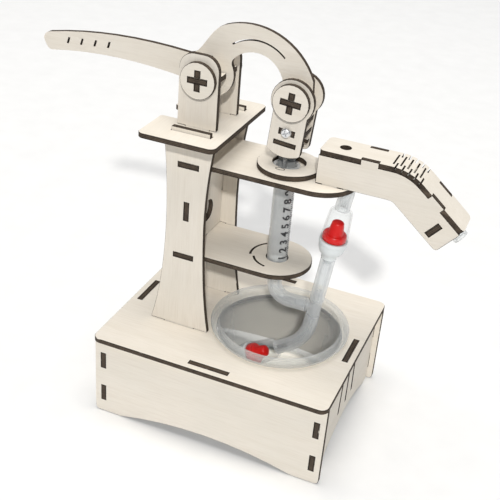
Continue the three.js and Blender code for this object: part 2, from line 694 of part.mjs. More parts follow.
function hose(points, steps) {
  const section = polygon(new THREE.Shape(), around(HOSE.outerR - 0.1, 12));
  section.holes.push(polygon(new THREE.Path(), around(HOSE.boreR - 0.15, 8).reverse()));
  const route = new THREE.CatmullRomCurve3(points, false, 'centripetal');
  return new THREE.ExtrudeGeometry(section, { steps, extrudePath: route });
}

function nozzleHoseRoute() {
  const { x, bottom } = SYRINGE;
  const radius = 10;
  const low = TEE.z - 0.5;
  return [
    at(x, bottom - 0.6), at(x, 98), ...arcPoints(x + radius, low + radius, radius, 180, 270, 7),
    at(32, low), at(TEE.x - HOSE_START, TEE.z - 0.4),
  ];
}

const INTAKE_SLOPE = 35; // the intake valve lies at this angle to the ground

function intakeHoseRoute() {
  const radius = 28.5;
  const turn = onTeeAxis(-13);
  const from = -TEE.lean;
  const to = INTAKE_SLOPE - 90;
  const x = turn.x - radius * Math.cos(radians(from));
  const z = turn.z - radius * Math.sin(radians(from));
  const bend = arcPoints(x, z, radius, from, to, 8);
  const end = bend[bend.length - 1].clone();
  const heading = at(-Math.cos(radians(INTAKE_SLOPE)), -Math.sin(radians(INTAKE_SLOPE)));
  const straight = [3, 6, 9].map((distance) => end.clone().addScaledVector(heading, distance));
  return [onTeeAxis(-HOSE_START), onTeeAxis(-9), ...bend, ...straight];
}

const spoutTurn = radians(SPOUT.slope);
const spoutAlong = new THREE.Vector3(Math.cos(spoutTurn), 0, -Math.sin(spoutTurn));
const spoutAcross = new THREE.Vector3(Math.sin(spoutTurn), 0, Math.cos(spoutTurn));

// A point of the sloping half of the spout: distance along it, and height over its lower edge.
function onSpout(along, across) {
  return at(SPOUT.elbowX, UPPER_SHELF.top)
    .addScaledVector(spoutAlong, along)
    .addScaledVector(spoutAcross, across);
}

const OUTLET_HEIGHT = 12.2; // hose centre over the lower edge of the spout

function outletHoseRoute() {
  const level = UPPER_SHELF.top + OUTLET_HEIGHT;
  const radius = 13;
  const rise = HOSE_HOLE.x;
  return [
    onTeeAxis(VALVE_START + VALVE_LENGTH + 0.4), onTeeAxis(72), at(rise - 0.4, 160), at(rise, 164.5),
    ...arcPoints(rise + radius, level - radius, radius, 180, 90, 7),
    ...arcPoints(78, level - 22, 22, 90, 90 - SPOUT.slope, 5),
    onSpout(14, OUTLET_HEIGHT), onSpout(26, OUTLET_HEIGHT), onSpout(OUTLET_END, OUTLET_HEIGHT),
  ];
}

function teeBody() {
  const run = turned([[1.5, -12], [2.5, -11], [2.5, -4.9], [4, -4.9], [4, 4.9], [2.5, 4.9], [2.5, 11],
    [1.5, 12]], 14).rotateY(lean);
  const branch = rod(2.4, 11, 14).rotateY(Math.PI / 2).translate(-6.5, 0, -0.4);
  const hub = rod(3.6, 3, 14).rotateY(Math.PI / 2).translate(-3.4, 0, -0.4);
  const bore = rod(1.5, 24, 10).rotateY(lean);
  const sideBore = rod(1.4, 12, 10).rotateY(Math.PI / 2).translate(-7, 0, -0.4);
  return cut(join([run, branch, hub]), [bore, sideBore]);
}

// A check valve along +Z from its base (z = 0) to its shoulder (z = VALVE_LENGTH).
function addValve(parent, prefix) {
  const base = [
    [1.4, -3.5], [2.1, -3.5], [2.5, -2.6], [2.5, 0], [4.6, 0.2], [4.8, 2.4], [6.6, 4.6], [7.9, 8],
    [8.4, 11], [8.4, 13], [1.4, 13],
  ];
  const core = [
    [0, 13.4], [6.8, 13.4], [6.9, 14.2], [6.9, 15.8], [6.3, 16.4], [4.8, 16.6], [4.5, 17.6],
    [3.5, 24.4], [2.9, 25], [0, 25.2],
  ];
  const shell = [
    [7.5, 13.3], [8.1, 13.3], [8, 16], [6.8, 31], [6.2, 32.4], [3.4, VALVE_LENGTH],
    [2.5, VALVE_LENGTH], [2.5, 40], [2.1, 41.5], [1.4, 41.5], [1.4, 32.2], [5.8, 31.4], [6.1, 30.6],
  ];
  addMesh(parent, `${prefix}_valve_base`, turned(base), whitePlastic);
  addMesh(parent, `${prefix}_valve_core`, turned(core, 16), redPlastic);
  addMesh(parent, `${prefix}_valve_shell`, turned(shell), clearPlastic);
}

function addWaterway(parent) {
  addMesh(parent, 'nozzle_hose', hose(nozzleHoseRoute(), 15), hosePlastic);
  const riserRoute = [onTeeAxis(HOSE_START), onTeeAxis(20), onTeeAxis(VALVE_START - 0.3)];
  addMesh(parent, 'riser_hose', hose(riserRoute, 1), hosePlastic);
  addMesh(parent, 'intake_hose', hose(intakeHoseRoute(), 11), hosePlastic);
  addMesh(parent, 'outlet_hose', hose(outletHoseRoute(), 26), hosePlastic);
  addMesh(parent, 'tee', teeBody(), clearPlastic, [TEE.x, 0, TEE.z]);

  const outlet = new THREE.Group();
  outlet.position.copy(onTeeAxis(VALVE_START));
  outlet.rotation.y = lean;
  parent.add(outlet);
  addValve(outlet, 'outlet');

  const route = intakeHoseRoute();
  const hoseEnd = route[route.length - 1];
  const slope = radians(INTAKE_SLOPE);
  const intake = new THREE.Group();
  const length = VALVE_LENGTH + 0.4;
  intake.position.set(hoseEnd.x - length * Math.cos(slope), 0, hoseEnd.z - length * Math.sin(slope));
  intake.rotation.y = Math.PI / 2 - slope;
  parent.add(intake);
  addValve(intake, 'intake');
}

// ---------------------------------------------------------------- spout
const SPOUT_TOP_TABS = { level: [61, 71], sloping: [16, 26] };

function spoutElbow() {
  const cornerX = SPOUT.elbowX + SPOUT.height * Math.tan(spoutTurn / 2);
  const setback = SPOUT.bend * Math.tan(spoutTurn / 2);
  return { cornerX, setback, startX: cornerX - setback, slopeLength: SPOUT.height * Math.tan(spoutTurn / 2) };
}

function spoutSide() {
  const { left, height, elbowX, reach, bend } = SPOUT;
  const floor = UPPER_SHELF.top + GAP;
  const top = UPPER_SHELF.top + height;
  const { startX, setback, slopeLength } = spoutElbow();
  const xz = (along, across) => {
    const point = onSpout(along, across);
    return [point.x, point.z];
  };
  const corner = -slopeLength; // where the upper edges meet, measured along the slope
  const tabs = SPOUT_TOP_TABS;
  const shape = new THREE.Shape();
  shape.moveTo(left, floor);
  shape.lineTo(SPOUT_TAB.x - SPOUT_TAB.width / 2, floor);
  shape.lineTo(SPOUT_TAB.x - SPOUT_TAB.width / 2, floor - PLY);
  shape.lineTo(SPOUT_TAB.x + SPOUT_TAB.width / 2, floor - PLY);
  shape.lineTo(SPOUT_TAB.x + SPOUT_TAB.width / 2, floor);
  shape.lineTo(elbowX - 2.5, floor);
  shape.quadraticCurveTo(elbowX, floor, ...xz(2.5, 0));
  shape.lineTo(...xz(reach - 2.5, 0));
  shape.quadraticCurveTo(...xz(reach, 0), ...xz(reach, 2.5));
  shape.lineTo(...xz(reach, height));
  shape.lineTo(...xz(corner + tabs.sloping[1], height));
  shape.lineTo(...xz(corner + tabs.sloping[1], height + PLY));
  shape.lineTo(...xz(corner + tabs.sloping[0], height + PLY));
  shape.lineTo(...xz(corner + tabs.sloping[0], height));
  shape.lineTo(...xz(corner + setback, height));
  shape.absarc(startX, top - bend, bend, Math.PI / 2 - spoutTurn, Math.PI / 2, false);
  shape.lineTo(tabs.level[1], top);
  shape.lineTo(tabs.level[1], top + PLY);
  shape.lineTo(tabs.level[0], top + PLY);
  shape.lineTo(tabs.level[0], top);
  shape.lineTo(left, top);
  shape.closePath();
  const w = PLY / 2 + FIT;
  const holderSlot = [[-w, 2.65], [-w, 12.25], [w, 12.25], [w, 2.65]];
  const corners = holderSlot.map(([a, v]) => xz(SPOUT_HOLDER + a, v));
  shape.holes.push(polygon(new THREE.Path(), corners));
  return shape;
}

// Rows of slits that let the lid bend. Middle slits take turns with pairs open at the edges.
const HINGE = { rows: 10, first: -0.02, step: 0.0716, width: 0.95, middle: 13.5, side: 6.2 };

function hingeSlits(radius, startX, centreZ) {
  const { half } = SPOUT;
  const slits = [];
  for (let row = 0; row < HINGE.rows; row += 1) {
    const sideY = half + 1 - (HINGE.side + 1) / 2;
    const cuts = row % 2 ? [[-sideY, HINGE.side + 1], [sideY, HINGE.side + 1]] : [[0, HINGE.middle]];
    cuts.forEach(([y, length]) => slits.push(new THREE.BoxGeometry(HINGE.width, length, 6)
      .translate(0, y, radius)
      .rotateY(HINGE.first + row * HINGE.step)
      .translate(startX, 0, centreZ)));
  }
  return slits;
}

// What is cut away to round a corner, standing in the quarter that the turn gives.
function cornerTool(turn, radius = 3) {
  const shape = new THREE.Shape();
  shape.moveTo(-1, -1);
  shape.lineTo(radius, -1);
  shape.lineTo(radius, 0);
  shape.absarc(radius, radius, radius, -Math.PI / 2, Math.PI, true);
  shape.lineTo(-1, radius);
  shape.closePath();
  return new THREE.ExtrudeGeometry(shape, { depth: 8, bevelEnabled: false, curveSegments: 4 })
    .translate(0, 0, -4)
    .rotateZ(turn);
}

// The bent lid of the spout, with staggered slits where it bends.
function spoutLid() {
  const { left, height, half, reach, bend } = SPOUT;
  const { startX, setback, slopeLength } = spoutElbow();
  const low = UPPER_SHELF.top + height + GAP;
  const centreZ = low - GAP - bend;
  const r0 = bend + GAP;
  const r1 = bend + PLY;
  const bendEnd = Math.PI / 2 - spoutTurn;
  const endLow = onSpout(reach, height + GAP);
  const endHigh = onSpout(reach, height + PLY);
  const profile = new THREE.Shape();
  profile.moveTo(left, low);
  profile.lineTo(startX, low);
  profile.absarc(startX, centreZ, r0, Math.PI / 2, bendEnd, true);
  profile.lineTo(endLow.x, endLow.z);
  profile.lineTo(endHigh.x, endHigh.z);
  profile.absarc(startX, centreZ, r1, bendEnd, Math.PI / 2, false);
  profile.lineTo(left, centreZ + r1);
  profile.closePath();
  const body = sheet(profile, 2 * half).rotateX(Math.PI / 2);

  const tools = [];
  const notchY = half - PLY / 2 + 2;
  const notchWidth = PLY + 4 + 2 * FIT;
  const topCorner = -slopeLength;
  for (const side of [-1, 1]) {
    const [a, b] = SPOUT_TOP_TABS.level;
    tools.push(new THREE.BoxGeometry(b - a + 2 * FIT, notchWidth, 8)
      .translate((a + b) / 2, side * notchY, low));
    const [c, d] = SPOUT_TOP_TABS.sloping;
    const middle = onSpout(topCorner + (c + d) / 2, height + PLY / 2);
    tools.push(new THREE.BoxGeometry(d - c + 2 * FIT, notchWidth, 8)
      .rotateY(spoutTurn)
      .translate(middle.x, side * notchY, middle.z));
  }
  const tip = onSpout(reach, height + PLY / 2);
  tools.push(
    ...hingeSlits(r0, startX, centreZ),
    rod(3.3, 20, 24).translate(49.2, 0, low),
    cornerTool(0).translate(left, -half, low),
    cornerTool(-Math.PI / 2).translate(left, half, low),
    cornerTool(Math.PI / 2).rotateY(spoutTurn).translate(tip.x, -half, tip.z),
    cornerTool(Math.PI).rotateY(spoutTurn).translate(tip.x, half, tip.z),
  );
  return cut(body, tools);
}

// A cross wall of the spout with a saddle that the outlet hose lies in.
function spoutHolder() {
  const { half } = SPOUT;
  const inner = half - PLY - GAP;
  const saddle = HOSE.outerR + 0.5;
  const top = 16.7;
  const shape = new THREE.Shape();
  shape.moveTo(-inner, 0.6);
  [[inner, 0.6], [inner, 2.8], [half, 2.8], [half, 12.1], [inner, 12.1], [inner, top], [saddle, top]]
    .forEach((point) => shape.lineTo(...point));
  shape.absarc(0, OUTLET_HEIGHT, saddle, 0, Math.PI, true);
  [[-saddle, top], [-inner, top], [-inner, 12.1], [-half, 12.1], [-half, 2.8], [-inner, 2.8]]
    .forEach((point) => shape.lineTo(...point));
  shape.closePath();
  return shape;
}

function addSpout(parent) {
  const sideY = SPOUT.half - PLY / 2;
  addPlate(parent, 'spout_front_side', spoutSide(), [0, -sideY, 0], FRONT);
  addPlate(parent, 'spout_rear_side', spoutSide(), [0, sideY, 0], FRONT);
  addMesh(parent, 'spout_lid', spoutLid(), wood);
  const slope = new THREE.Group();
  slope.position.set(SPOUT.elbowX, 0, UPPER_SHELF.top);
  slope.rotation.y = spoutTurn;
  parent.add(slope);
  addPlate(slope, 'spout_holder', spoutHolder(), [SPOUT_HOLDER, 0, 0], SIDE);
}

// ---------------------------------------------------------------- whole pump
const pump = new THREE.Group();
addBase(pump);
addBowl(pump);
addColumn(pump);
addPosts(pump);
addLever(pump);
addLink(pump);
addSyringe(pump);
addPlunger(pump);
addWaterway(pump);
addSpout(pump);

// The origin is on the ground, under the middle of the pump's box.
const reachBox = new THREE.Box3().setFromObject(pump);
pump.position.x = -(reachBox.min.x + reachBox.max.x) / 2;

export default pump;
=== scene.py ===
import json
import math

import bmesh
import bpy
from mathutils import Matrix, Vector


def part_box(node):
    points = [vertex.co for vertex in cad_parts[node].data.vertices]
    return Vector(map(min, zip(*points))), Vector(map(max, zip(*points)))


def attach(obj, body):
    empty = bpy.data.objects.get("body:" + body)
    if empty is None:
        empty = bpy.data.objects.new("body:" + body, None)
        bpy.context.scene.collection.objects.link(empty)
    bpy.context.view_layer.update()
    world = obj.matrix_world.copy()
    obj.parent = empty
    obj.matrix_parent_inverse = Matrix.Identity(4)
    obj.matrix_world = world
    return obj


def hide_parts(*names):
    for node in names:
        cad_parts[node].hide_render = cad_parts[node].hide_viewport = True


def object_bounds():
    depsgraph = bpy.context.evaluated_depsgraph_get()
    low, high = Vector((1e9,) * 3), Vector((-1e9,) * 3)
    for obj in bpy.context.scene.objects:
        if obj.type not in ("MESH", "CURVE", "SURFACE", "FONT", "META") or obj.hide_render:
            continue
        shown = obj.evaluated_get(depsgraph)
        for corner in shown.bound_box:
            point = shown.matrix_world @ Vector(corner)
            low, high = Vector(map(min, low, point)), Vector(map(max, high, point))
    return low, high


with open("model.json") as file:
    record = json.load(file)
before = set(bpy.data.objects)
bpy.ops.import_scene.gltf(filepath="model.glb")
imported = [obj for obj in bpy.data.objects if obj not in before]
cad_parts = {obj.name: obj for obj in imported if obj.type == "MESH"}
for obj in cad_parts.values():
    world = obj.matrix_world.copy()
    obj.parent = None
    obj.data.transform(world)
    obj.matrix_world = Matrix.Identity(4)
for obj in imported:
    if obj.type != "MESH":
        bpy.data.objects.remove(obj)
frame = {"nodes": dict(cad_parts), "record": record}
cad_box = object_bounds()
record = frame["record"]
nodes = frame["nodes"]
slot_of = {part["node"]: part["material_slot"] for part in record["subparts"]}
body_of = {node: body for body, members in record["behaviour"]["bodies"].items() for node in members}

MM = 0.001
UP = Vector((0, 0, 1))
BACK = Vector((0, 1, 0))


def middle(node):
    """The centre of a CAD node's box."""
    low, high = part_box(node)
    return (low + high) / 2


# ---------------------------------------------------------------- camera
VIEW_FROM = Vector((0.1757, -0.4538, 0.3895))
VIEW_ALONG = Vector((-0.2993, 0.8112, -0.5024))
VIEW_ROLL = math.radians(4.9)


def make_camera():
    """The photograph's viewpoint: in front, to the right and above, turned slightly about its axis."""
    camera = bpy.data.objects.new("camera", bpy.data.cameras.new("camera"))
    camera.data.lens = 66.4
    camera.data.sensor_width = 36
    camera.data.clip_start = 0.01
    camera.data.clip_end = 20
    turn = VIEW_ALONG.to_track_quat("-Z", "Y").to_matrix().to_4x4()
    camera.matrix_world = Matrix.Translation(VIEW_FROM) @ turn @ Matrix.Rotation(VIEW_ROLL, 4, "Z")
    bpy.context.scene.collection.objects.link(camera)
    bpy.context.scene.camera = camera


# ---------------------------------------------------------------- material helpers
class Nodes:
    """A short way to write a node tree: each call adds one node and joins its inputs."""

    def __init__(self, name):
        self.material = bpy.data.materials.new(name)
        self.material.use_nodes = True
        self.tree = self.material.node_tree
        self.shader = self.tree.nodes["Principled BSDF"]
        self.output = self.tree.nodes["Material Output"]

    def add(self, kind, settings=None, **inputs):
        node = self.tree.nodes.new("ShaderNode" + kind)
        for key, value in (settings or {}).items():
            setattr(node, key, value)
        for key, value in inputs.items():
            self.feed(node, key, value)
        return node

    def feed(self, node, key, value):
        """key is an input's name, or i and its number. value is another node's output or a plain value."""
        socket = node.inputs[int(key[1:])] if key[0] == "i" and key[1:].isdigit() else node.inputs[key]
        if isinstance(value, bpy.types.NodeSocket):
            self.tree.links.new(value, socket)
        else:
            socket.default_value = value

    def set(self, **values):
        """Plain values on the Principled shader's own sockets, with _ for a space."""
        for key, value in values.items():
            self.feed(self.shader, key.replace("_", " "), value)

    def coords(self, scale=(1, 1, 1), shift=(0, 0, 0)):
        """The piece's own coordinates in metres, stretched and moved."""
        place = self.add("TexCoord")
        mapping = self.add("Mapping", Vector=place.outputs["Object"], Scale=scale, Location=shift)
        return mapping.outputs["Vector"]

    def noise(self, vector, scale, detail=4, roughness=0.55, distortion=0.0):
        node = self.add("TexNoise", Vector=vector, Scale=scale, Detail=detail, Roughness=roughness)
        node.inputs["Distortion"].default_value = distortion
        return node.outputs["Fac"]

    def ramp(self, fac, *stops):
        """stops are (place, value); a value is a grey number or a colour."""
        node = self.add("ValToRGB", Fac=fac)
        elements = node.color_ramp.elements
        while len(elements) < len(stops):
            elements.new(0.5)
        for element, (place, value) in zip(elements, stops):
            element.position = place
            element.color = (value, value, value, 1) if isinstance(value, (int, float)) else (*value, 1)
        return node.outputs["Color"]

    def mix(self, fac, a, b):
        node = self.add("Mix", {"data_type": "RGBA"})
        sockets = [node.inputs[0], node.inputs[6], node.inputs[7]]
        for socket, value in zip(sockets, (fac, a, b)):
            if isinstance(value, bpy.types.NodeSocket):
                self.tree.links.new(value, socket)
            elif isinstance(value, (int, float)):
                socket.default_value = value
            else:
                socket.default_value = (*value, 1)
        return node.outputs[2]

    def math(self, operation, a, b=0.0, c=0.0, clamp=False):
        node = self.add("Math", {"operation": operation, "use_clamp": clamp}, i0=a, i1=b)
        if operation == "MULTIPLY_ADD":
            self.feed(node, "i2", c)
        return node.outputs[0]

    def bump(self, height, strength, distance=0.0002):
        node = self.add("Bump", Height=height, Strength=strength, Distance=distance)
        return node.outputs["Normal"]


# ---------------------------------------------------------------- wood
WOOD_PALE = (0.80, 0.745, 0.665)
WOOD_TONE = (0.745, 0.685, 0.595)
WOOD_LINE = (0.58, 0.50, 0.41)
WOOD_PATCH = (0.70, 0.665, 0.59)
# The arris line's darkest colour: laser char, and also painted shade for the thin contact shade that outlines
# each piece.
SOOT_AND_SHADE = (0.020, 0.015, 0.011)
CHAR = (0.030, 0.022, 0.016)
CHAR_LIGHT = (0.075, 0.056, 0.041)
GLUE_LINE = (0.17, 0.13, 0.095)
ACROSS_GRAIN, ALONG_GRAIN = 42.0, 2.6  # how finely the pattern repeats
GRAIN_SHIFT = {"x": (0.0, 1.3, 2.1), "y": (3.7, 0.4, 1.9), "z": (5.2, 2.6, 0.7)}


def wood_face(name, grain, shift):
    """Pale basswood veneer. grain is the axis its fibres follow, and shift moves the pattern."""
    m = Nodes(name)
    stretch = [ACROSS_GRAIN] * 3
    stretch["xyz".index(grain)] = ALONG_GRAIN
    along = m.coords(stretch, shift)
    fibres = m.noise(along, 26, detail=5, roughness=0.6)
    bands = m.noise(along, 4.5, detail=3, roughness=0.5, distortion=0.6)
    patches = m.noise(m.coords(), 22, detail=2)
    pores = m.noise(along, 60, detail=2, roughness=0.4)
    base = m.mix(m.math("MULTIPLY", m.ramp(bands, (0.30, 0.0), (0.72, 1.0)), 0.7), WOOD_PALE, WOOD_TONE)
    base = m.mix(m.math("MULTIPLY", m.ramp(fibres, (0.45, 0.0), (0.75, 1.0)), 0.26), base, WOOD_LINE)
    base = m.mix(m.math("MULTIPLY", m.ramp(pores, (0.70, 0.0), (0.82, 1.0)), 0.35), base, WOOD_LINE)
    base = m.mix(m.math("MULTIPLY", m.ramp(patches, (0.40, 0.0), (0.72, 1.0)), 0.4), base, WOOD_PATCH)
    m.set(Base_Color=base, Specular_IOR_Level=0.25)
    m.set(Roughness=m.math("MULTIPLY_ADD", fibres, 0.25, 0.58))
    m.set(Normal=m.bump(m.math("ADD", fibres, m.math("MULTIPLY", pores, -0.6)), 0.35, 0.00012))
    return m.material


def burnt_edge(name):
    """Laser-cut edge: brown char with streaks, and a paler line at each glue joint of the plies."""
    m = Nodes(name)
    ply = m.add("Attribute", {"attribute_name": "ply", "attribute_type": "GEOMETRY"}).outputs["Fac"]
    along = m.coords()
    soot = m.noise(along, 240, detail=3)
    streak = m.noise(along, 1100, detail=2)
    wander = m.math("MULTIPLY_ADD", m.noise(along, 60), 0.12, -0.06)
    level = m.math("ADD", ply, wander)
    joints = m.ramp(level, (0.30, 0.0), (0.36, 1.0), (0.42, 0.0), (0.58, 0.0), (0.64, 1.0), (0.70, 0.0))
    base = m.mix(m.ramp(soot, (0.32, 0.0), (0.70, 1.0)), CHAR, CHAR_LIGHT)
    base = m.mix(m.math("MULTIPLY", joints, 0.55), base, GLUE_LINE)
    base = m.mix(m.math("MULTIPLY", m.ramp(streak, (0.55, 0.0), (0.75, 1.0)), 0.35), base, GLUE_LINE)
    m.set(Base_Color=base, Specular_IOR_Level=0.2)
    m.set(Roughness=m.math("MULTIPLY_ADD", soot, 0.3, 0.6))
    m.set(Normal=m.bump(streak, 0.4, 0.0002))
    return m.material


def soot_line(name):
    """The blackened arris along every cut, worn through to bare wood in a few small nicks. On the plates the
    dark line is part laser char and part painted shade, the thin contact shade round each piece.
    """
    m = Nodes(name)
    along = m.coords()
    depth = m.noise(along, 320, detail=3)
    nick = m.ramp(m.noise(along, 75, detail=2), (0.70, 0.0), (0.74, 1.0))
    base = m.mix(m.ramp(depth, (0.35, 0.0), (0.70, 1.0)), SOOT_AND_SHADE, CHAR)
    m.set(Base_Color=m.mix(nick, base, WOOD_TONE), Specular_IOR_Level=0.15)
    m.set(Roughness=m.math("MULTIPLY_ADD", depth, 0.2, 0.75))
    return m.material


# ---------------------------------------------------------------- plastics and metal
def clear_plastic(name, tint, body, least, most, roughness, milk=0.0, edge=1.6, floor=None):
    """See-through plastic: mostly what lies behind it, and more of itself at grazing angles.

    least and most are the body's share face on and edge on, and edge shapes the change between them.
    milk adds hazy patches. floor makes the plastic below a height cloudier and paler, in a colour of its own:
    painted light, which makes the bowl's floor look lit.
    """
    m = Nodes(name)
    haze = m.noise(m.coords(), 90, detail=3)
    color = m.mix(haze, body, tuple(min(1, c * 1.08) for c in body))
    facing = m.add("LayerWeight", Blend=0.35).outputs["Facing"]
    share = m.math("MULTIPLY_ADD", m.math("POWER", facing, edge), most - least, least, clamp=True)
    # Painted light: below the floor's top the plastic turns less clear and pale cream, so the floor looks
    # lit.
    if floor:
        height = m.add("SeparateXYZ", Vector=m.coords()).outputs["Z"]
        start = floor["top"] / floor["fade"] + 1
        low = m.math("MULTIPLY_ADD", height, -1 / floor["fade"], start, clamp=True)
        color = m.mix(low, color, floor["color"])
        share = m.math("ADD", share, m.math("MULTIPLY", low, floor["share"]), clamp=True)
    if milk:
        share = m.math("ADD", share, m.math("MULTIPLY", haze, milk), clamp=True)
    m.set(Base_Color=color, Specular_IOR_Level=0.6)
    m.set(Roughness=m.math("MULTIPLY_ADD", haze, 0.12, roughness))
    m.set(Normal=m.bump(haze, 0.05, 0.0002))
    through = m.add("BsdfTransparent", Color=(*tint, 1))
    both = m.add("MixShader", Fac=share)
    m.tree.links.new(through.outputs[0], both.inputs[1])
    m.tree.links.new(m.shader.outputs[0], both.inputs[2])
    m.tree.links.new(both.outputs[0], m.output.inputs["Surface"])
    return m.material


def moulded(name, color, roughness):
    """Moulded plastic with a faint mottle and a very fine surface."""
    m = Nodes(name)
    mottle = m.noise(m.coords(), 120, detail=4)
    grain = m.noise(m.coords(), 2200, detail=2)
    dark = tuple(c * 0.88 for c in color)
    m.set(Base_Color=m.mix(mottle, dark, color), Specular_IOR_Level=0.5)
    m.set(Roughness=m.math("MULTIPLY_ADD", mottle, 0.12, roughness))
    m.set(Normal=m.bump(grain, 0.05, 0.0001))
    return m.material


def zinc(name):
    """Bright plated steel, lightly brushed."""
    m = Nodes(name)
    brushed = m.noise(m.coords((400, 60, 60)), 8, detail=4)
    m.set(Base_Color=m.mix(brushed, (0.72, 0.73, 0.74), (0.90, 0.90, 0.91)), Metallic=0.85)
    m.set(Roughness=m.math("MULTIPLY_ADD", brushed, 0.22, 0.22))
    m.set(Normal=m.bump(brushed, 0.08, 0.0001))
    return m.material


def ink(name):
    """Black print, a little worn."""
    m = Nodes(name)
    wear = m.noise(m.coords(), 700, detail=3)
    m.set(Base_Color=m.ramp(wear, (0.3, (0.012, 0.012, 0.014)), (0.8, (0.05, 0.05, 0.055))))
    m.set(Roughness=m.math("MULTIPLY_ADD", wear, 0.2, 0.4))
    return m.material


# ---------------------------------------------------------------- mesh helpers
def link_object(name, mesh):
    obj = bpy.data.objects.new(name, mesh)
    bpy.context.scene.collection.objects.link(obj)
    return obj


def finish_piece(obj, body, slot, *replaced):
    """What the frame is told about a piece: its body and the CAD nodes it stands for. slot is not used."""
    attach(obj, body)
    if replaced:
        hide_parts(*replaced)


def smooth(mesh, degrees=35):
    mesh.shade_smooth()
    mesh.set_sharp_from_angle(angle=math.radians(degrees))


def mesh_from(bm, name):
    mesh = bpy.data.meshes.new(name)
    bm.to_mesh(mesh)
    bm.free()
    return mesh


SAME_POINT = 0.001 * MM
FLAT = math.radians(0.6)


def cad_mesh(node):
    """A copy of a CAD node's mesh, joined up and with its flat faces whole."""
    mesh = nodes[node].data.copy()
    mesh.materials.clear()
    bm = bmesh.new()
    bm.from_mesh(mesh)
    bmesh.ops.remove_doubles(bm, verts=bm.verts, dist=SAME_POINT)
    bmesh.ops.dissolve_limit(bm, angle_limit=FLAT, verts=bm.verts, edges=bm.edges)
    bm.to_mesh(mesh)
    bm.free()
    return mesh


def soften(piece, width, segments, degrees):
    """A bevel on every edge sharper than the given angle."""
    bevel = piece.modifiers.new("bevel", "BEVEL")
    bevel.width = width
    bevel.segments = segments
    bevel.limit_method = "ANGLE"
    bevel.angle_limit = math.radians(degrees)
    return bevel


def turn_angles(count):
    return [2 * math.pi * i / count for i in range(count)]


def bridge(bm, a, b):
    """Four-sided faces between two closed rings of the same length."""
    for i in range(len(a)):
        j = (i + 1) % len(a)
        bm.faces.new((a[i], a[j], b[j], b[i]))


def lathe(name, profile, material, segments, place, closed=False):
    """A body of revolution about local +Z. profile is a list of (radius, height) in millimetres."""
    bm = bmesh.new()
    rings = []
    for radius, height in profile:
        if radius < 1e-6:
            rings.append([bm.verts.new((0, 0, height * MM))])
            continue
        reach, z = radius * MM, height * MM
        around = turn_angles(segments)
        rings.append([bm.verts.new((reach * math.cos(a), reach * math.sin(a), z)) for a in around])
    pairs = list(zip(rings, rings[1:]))
    if closed:
        pairs.append((rings[-1], rings[0]))
    for low, high in pairs:
        for i in range(segments):
            j = (i + 1) % segments
            corners = [low[i % len(low)], low[j % len(low)], high[j % len(high)], high[i % len(high)]]
            unique = [v for k, v in enumerate(corners) if v not in corners[:k]]
            if len(unique) > 2:
                bm.faces.new(unique)
    bmesh.ops.recalc_face_normals(bm, faces=bm.faces)
    mesh = mesh_from(bm, name)
    mesh.materials.append(material)
    smooth(mesh)
    obj = link_object(name, mesh)
    obj.matrix_world = place
    return obj


CURVE_SAMPLES = 24
HOSE_STEP = 1.2 * MM


def catmull(points):
    """Evenly spaced points on the centripetal Catmull-Rom curve through the given points."""
    ends = [points[0] * 2 - points[1], *points, points[-1] * 2 - points[-2]]
    dense = []
    for p0, p1, p2, p3 in zip(ends, ends[1:], ends[2:], ends[3:]):
        t0 = 0.0
        t1 = t0 + max((p1 - p0).length, 1e-9) ** 0.5
        t2 = t1 + max((p2 - p1).length, 1e-9) ** 0.5
        t3 = t2 + max((p3 - p2).length, 1e-9) ** 0.5
        for i in range(CURVE_SAMPLES):
            t = t1 + (t2 - t1) * i / CURVE_SAMPLES
            a1 = p0 * ((t1 - t) / (t1 - t0)) + p1 * ((t - t0) / (t1 - t0))
            a2 = p1 * ((t2 - t) / (t2 - t1)) + p2 * ((t - t1) / (t2 - t1))
            a3 = p2 * ((t3 - t) / (t3 - t2)) + p3 * ((t - t2) / (t3 - t2))
            b1 = a1 * ((t2 - t) / (t2 - t0)) + a2 * ((t - t0) / (t2 - t0))
            b2 = a2 * ((t3 - t) / (t3 - t1)) + a3 * ((t - t1) / (t3 - t1))
            dense.append(b1 * ((t2 - t) / (t2 - t1)) + b2 * ((t - t1) / (t2 - t1)))
    dense.append(points[-1])
    lengths = [0.0]
    for a, b in zip(dense, dense[1:]):
        lengths.append(lengths[-1] + (b - a).length)
    count = max(2, round(lengths[-1] / HOSE_STEP))
    result = []
    k = 0
    for i in range(count + 1):
        target = lengths[-1] * i / count
        while k < len(lengths) - 2 and lengths[k + 1] < target:
            k += 1
        span = lengths[k + 1] - lengths[k]
        result.append(dense[k].lerp(dense[k + 1], (target - lengths[k]) / span if span else 0))
    return result


def hose_piece(name, points, material, outer, bore, sides=32):
    """A tube with a wall, in the XZ plane. Both of its ends are cut square."""
    line = catmull(points)
    bm = bmesh.new()
    rings = []
    for i, point in enumerate(line):
        ahead = line[min(i + 1, len(line) - 1)] - line[max(i - 1, 0)]
        across = BACK.cross(ahead).normalized()
        for radius in (outer, bore):
            offsets = [across * math.cos(a) + BACK * math.sin(a) for a in turn_angles(sides)]
            rings.append([bm.verts.new(point + offset * radius) for offset in offsets])
    walls = list(zip(rings[0::2], rings[2::2])) + list(zip(rings[1::2], rings[3::2]))
    walls += [(rings[0], rings[1]), (rings[-2], rings[-1])]
    for a, b in walls:
        bridge(bm, a, b)
    bmesh.ops.recalc_face_normals(bm, faces=bm.faces)
    mesh = mesh_from(bm, name)
    mesh.materials.append(material)
    smooth(mesh, 40)
    return link_object(name, mesh)


# ---------------------------------------------------------------- wooden pieces
def main_direction(mesh):
    """The direction that most of a plate's surface faces."""
    areas = {}
    for polygon in mesh.polygons:
        n = polygon.normal
        key = tuple(round(c, 2) for c in (n if max(n, key=abs) > 0 else -n))
        areas[key] = areas.get(key, 0) + polygon.area
    return Vector(max(areas, key=areas.get)).normalized()


# The arris bevel is wide enough that its dark line reads as painted contact shade as well as char.
ARRIS = 0.24 * MM
ARRIS_MATERIAL = 2


